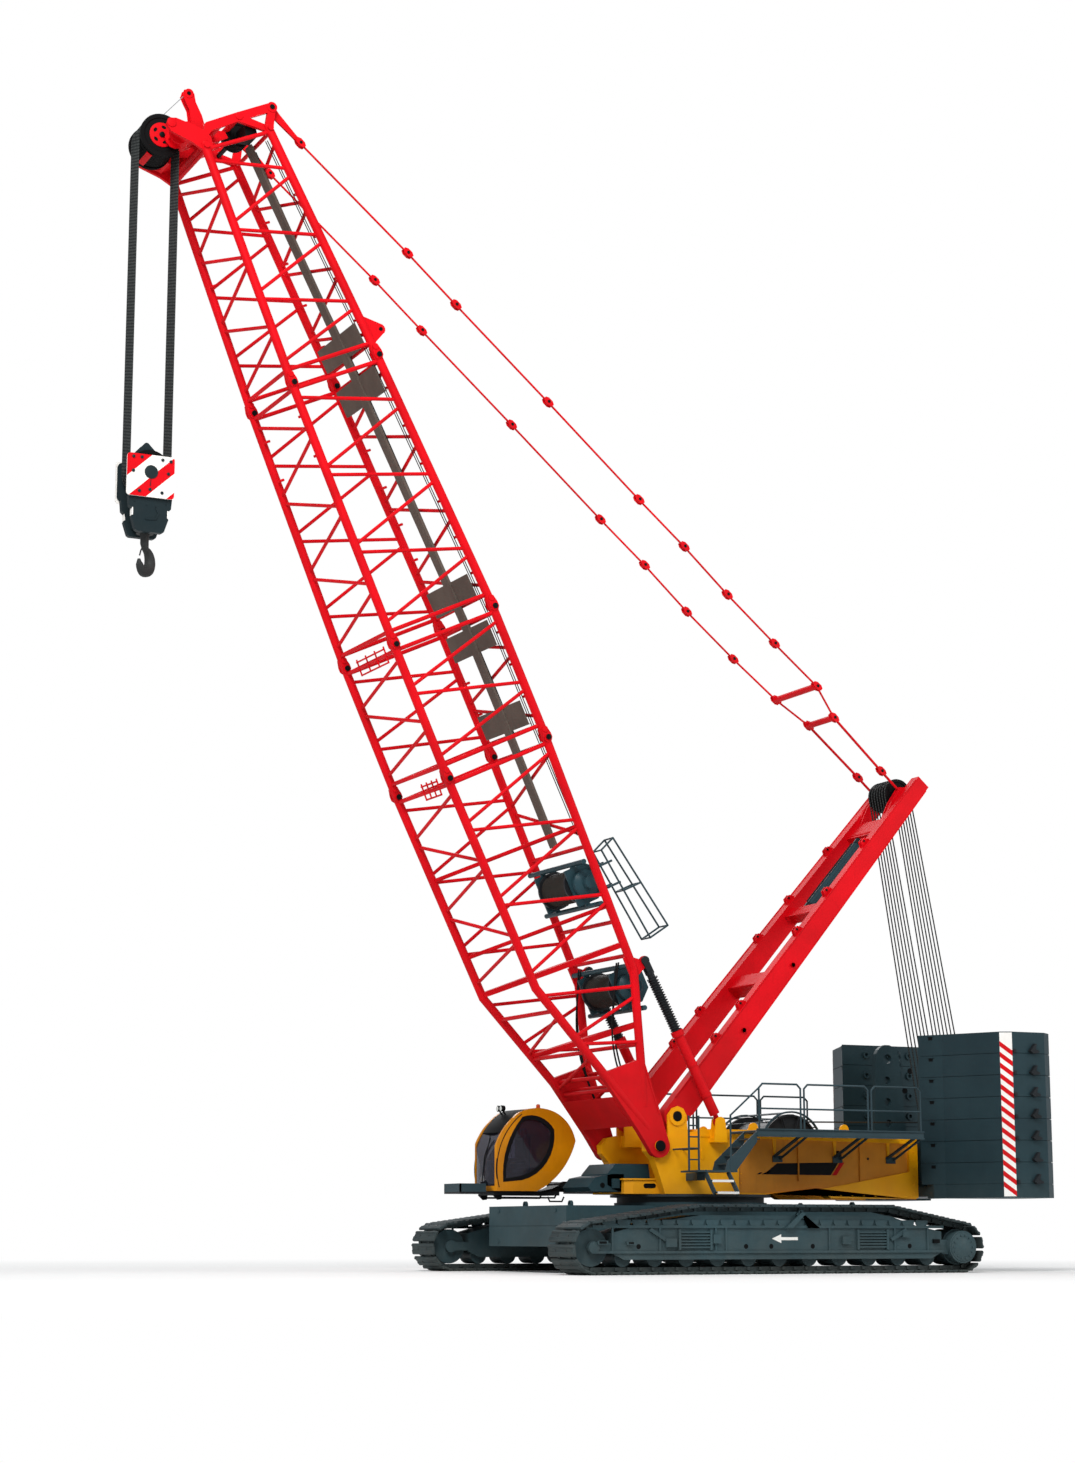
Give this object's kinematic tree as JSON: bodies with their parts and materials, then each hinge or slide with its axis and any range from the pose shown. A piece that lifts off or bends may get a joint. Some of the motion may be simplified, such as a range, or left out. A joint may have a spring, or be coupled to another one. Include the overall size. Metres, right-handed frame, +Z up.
{
  "type": "crawler crane",
  "caption": "Crawler crane: lattice boom held by a mast and pendants, hook block on a rope tackle, cab, stacked counterweights and tracked undercarriage.",
  "frame": {"origin": "ground level, centre of the crane's bounding box", "axes": "+X forward (boom side), +Y to the machine's left, +Z up"},
  "size_m": [20.89, 8.14, 25.2236],
  "materials": {
    "red_paint": "gloss",
    "yellow_paint": "gloss",
    "slate_paint": "satin",
    "dark_steel": "satin",
    "track_steel": "worn",
    "galvanised_steel": "matte",
    "wire_rope": "greased",
    "cab_glass": "tinted",
    "seat_plastic": "matte"
  },
  "bodies": {
    "undercarriage": {"carbody": "slate_paint", "slewing_ring": "dark_steel", "carbody_weight_front": "slate_paint", "carbody_weight_rear": "slate_paint", "side_frame_left": "slate_paint", "side_frame_right": "slate_paint", "track_left": "track_steel", "track_right": "track_steel", "front_idlers": "slate_paint", "final_drives": "slate_paint", "track_rollers": "slate_paint"},
    "superstructure": {"turntable": "dark_steel", "main_frame": "yellow_paint", "slewing_gear_case": "slate_paint", "power_pack": "yellow_paint", "walkway_left": "galvanised_steel", "walkway_right": "galvanised_steel", "guard_rails": "galvanised_steel", "access_ladder": "galvanised_steel", "counterweight_tray": "yellow_paint", "counterweight_left": "slate_paint", "counterweight_right": "slate_paint", "rear_bracket": "slate_paint", "lower_luffing_sheaves": "dark_steel", "cab_mount": "yellow_paint"},
    "luffing_winch": {"luffing_drum": "dark_steel"},
    "cab": {"cab_base": "yellow_paint", "cab_shell": "yellow_paint", "cab_glass": "cab_glass", "cab_seat": "seat_plastic"},
    "door": {"cab_door": "yellow_paint", "cab_door_glass": "cab_glass"},
    "boom": {"boom_foot_section": "red_paint", "boom_short_section": "red_paint", "boom_long_section": "red_paint", "boom_top_section": "red_paint", "boom_head_cheeks": "red_paint", "boom_service_strip": "dark_steel", "hoist_winch_upper_frame": "dark_steel", "hoist_winch_lower_frame": "dark_steel", "boom_basket": "galvanised_steel"},
    "upper_hoist_winch": {"hoist_drum_upper": "dark_steel"},
    "lower_hoist_winch": {"hoist_drum_lower": "dark_steel"},
    "head_sheaves": {"boom_head_sheaves": "dark_steel"},
    "mast": {"mast": "red_paint", "mast_head_sheaves": "dark_steel", "mast_cylinder": "dark_steel"},
    "pendants": {"pendants": "red_paint"},
    "backstop_tubes": {"backstop_tubes": "red_paint"},
    "backstop_rods": {"backstop_rods": "dark_steel"},
    "luffing_tackle_top": {"luffing_ropes_upper": "wire_rope"},
    "luffing_tackle_bottom": {"luffing_ropes_lower": "wire_rope"},
    "hoist_tackle": {"hoist_ropes": "wire_rope"},
    "hook_block": {"hook_block": "red_paint", "hook_block_sheaves": "dark_steel"},
    "hook": {"hook": "dark_steel"}
  },
  "joints": [
    {"name": "slew", "type": "hinge", "parent": "undercarriage", "child": "superstructure", "pos_m": [-3.01999, 0, 1.5997], "axis": [0, 0, 1], "continuous": true},
    {"name": "boom_luff", "type": "hinge", "parent": "superstructure", "child": "boom", "pos_m": [-1.54499, 0, 2.668], "axis": [0, -1, 0], "range_deg": [-35, 17]},
    {"name": "mast_luff", "type": "hinge", "parent": "superstructure", "child": "mast", "pos_m": [-2.04499, 0, 3.31], "axis": [0, -1, 0], "range_deg": [-37.87, 18.47]},
    {"name": "pendant_swing", "type": "hinge", "parent": "mast", "child": "pendants", "pos_m": [-8.49031, 0, 10.94547], "axis": [0, -1, 0], "range_deg": [-1.57, 3.08]},
    {"name": "backstop_swing", "type": "hinge", "parent": "superstructure", "child": "backstop_tubes", "pos_m": [-2.99499, 0, 3.2], "axis": [0, -1, 0], "range_deg": [-31.37, 15.31]},
    {"name": "backstop_stroke", "type": "slide", "parent": "backstop_tubes", "child": "backstop_rods", "axis": [0.4648, 0, 0.8854], "range_m": [-0.4355, 0.8914]},
    {"name": "luffing_tackle_swing", "type": "hinge", "parent": "mast", "child": "luffing_tackle_top", "pos_m": [-8.49031, 0, 10.94547], "axis": [0, -1, 0], "range_deg": [-5.05, 10.23], "deforming": ["luffing_ropes_upper"]},
    {"name": "luffing_tackle_reach", "type": "slide", "parent": "luffing_tackle_top", "child": "luffing_tackle_bottom", "axis": [-0.1731, 0, -0.9849], "range_m": [-2.3564, 4.8461], "deforming": ["luffing_ropes_lower"]},
    {"name": "tackle_plumb", "type": "hinge", "parent": "boom", "child": "hoist_tackle", "pos_m": [9.85499, 0, 23.90203], "axis": [0, -1, 0], "range_deg": [-17.15, 35.15]},
    {"name": "hoist", "type": "slide", "parent": "hoist_tackle", "child": "hook_block", "axis": [0, 0, 1], "range_m": [-12.5, 4], "deforming": ["hoist_ropes"]},
    {"name": "hook_swivel", "type": "hinge", "parent": "hook_block", "child": "hook", "pos_m": [9.85499, 0, 15.32], "axis": [0, 0, 1], "continuous": true},
    {"name": "cab_tilt", "type": "hinge", "parent": "superstructure", "child": "cab", "pos_m": [-0.78499, -2.12, 1.88], "axis": [0, -1, 0], "range_deg": [0, 20]},
    {"name": "cab_door", "type": "hinge", "parent": "cab", "child": "door", "pos_m": [-0.14499, -2.734, 2.5], "axis": [0, 0, -1], "range_deg": [0, 90]},
    {"name": "luffing_drum_spin", "type": "hinge", "parent": "superstructure", "child": "luffing_winch", "pos_m": [-5.04499, 0, 2.7], "axis": [0, 1, 0], "continuous": true},
    {"name": "hoist_drum_upper_spin", "type": "hinge", "parent": "boom", "child": "upper_hoist_winch", "pos_m": [-0.03108, 0, 8.30454], "axis": [0, 1, 0], "continuous": true},
    {"name": "hoist_drum_lower_spin", "type": "hinge", "parent": "boom", "child": "lower_hoist_winch", "pos_m": [-1.0989, 0, 6.09912], "axis": [0, 1, 0], "continuous": true},
    {"name": "head_sheave_spin", "type": "hinge", "parent": "boom", "child": "head_sheaves", "pos_m": [9.85499, 0, 23.90203], "axis": [0, 1, 0], "continuous": true}
  ],
  "couplings": [
    {"joint": "mast_luff", "follows": "boom_luff", "ratio": 1.0778},
    {"joint": "pendant_swing", "follows": "boom_luff", "ratio": -0.0836},
    {"joint": "backstop_swing", "follows": "boom_luff", "ratio": 0.892},
    {"joint": "backstop_stroke", "follows": "boom_luff", "m_per_rad": -1.451},
    {"joint": "luffing_tackle_swing", "follows": "boom_luff", "ratio": -0.288},
    {"joint": "luffing_tackle_reach", "follows": "boom_luff", "m_per_rad": -7.925},
    {"joint": "tackle_plumb", "follows": "boom_luff", "ratio": -1}
  ]
}
